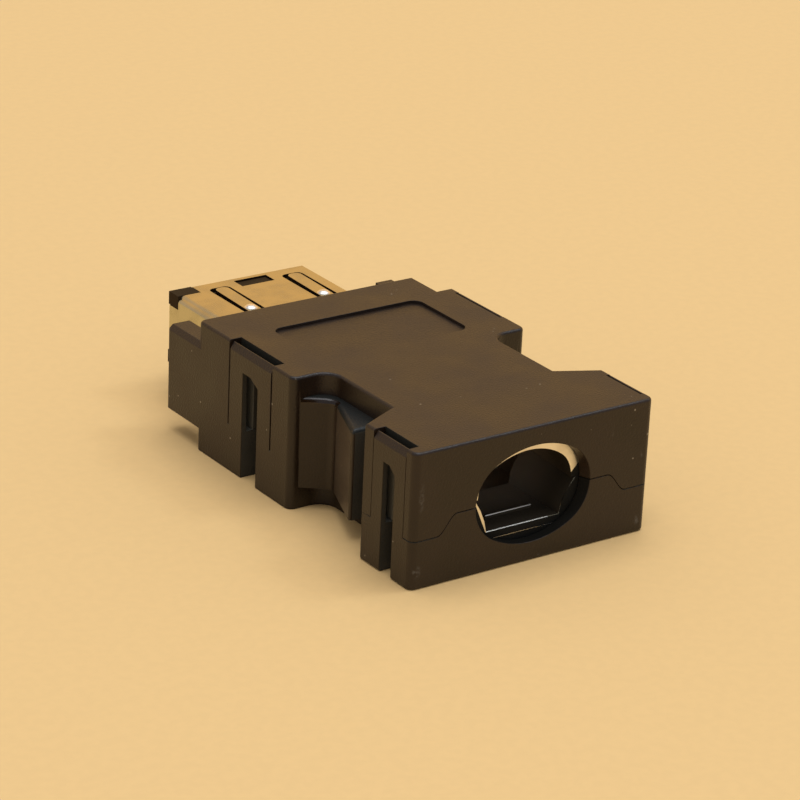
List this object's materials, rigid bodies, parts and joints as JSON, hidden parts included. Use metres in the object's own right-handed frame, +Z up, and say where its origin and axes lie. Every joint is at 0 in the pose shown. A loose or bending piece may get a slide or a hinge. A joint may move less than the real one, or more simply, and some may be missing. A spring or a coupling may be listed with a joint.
{
  "type": "encoder cable connector",
  "caption": "Encoder cable connector: snapped plastic covers with finger grips and an oval cable hole, round a shielded metal plug with spring fingers and a tapered end.",
  "frame": {"origin": "centre of the part's footprint, on the bottom face", "axes": "+Y from the cable hole to the mating plug, +Z up, +X towards the plug's tapered end"},
  "size_m": [0.0224, 0.0428, 0.0112],
  "materials": {
    "cover_plastic": "fine moulded texture, semi-matte black",
    "plug_metal": "nickel plated, bright rolled sheet",
    "shield_metal": "nickel plated, bright rolled sheet",
    "insulator_plastic": "smooth black",
    "contact_metal": "gold plated"
  },
  "bodies": {
    "root": {"upper_cover": "cover_plastic", "lower_cover": "cover_plastic", "plug_shell": "plug_metal", "upper_shield": "shield_metal", "lower_shield": "shield_metal", "contact_housing": "insulator_plastic", "contact_upper_1": "contact_metal", "contact_upper_2": "contact_metal", "contact_upper_3": "contact_metal", "contact_upper_4": "contact_metal", "contact_upper_5": "contact_metal", "contact_lower_1": "contact_metal", "contact_lower_2": "contact_metal", "contact_lower_3": "contact_metal", "contact_lower_4": "contact_metal", "contact_lower_5": "contact_metal"}
  },
  "joints": []
}
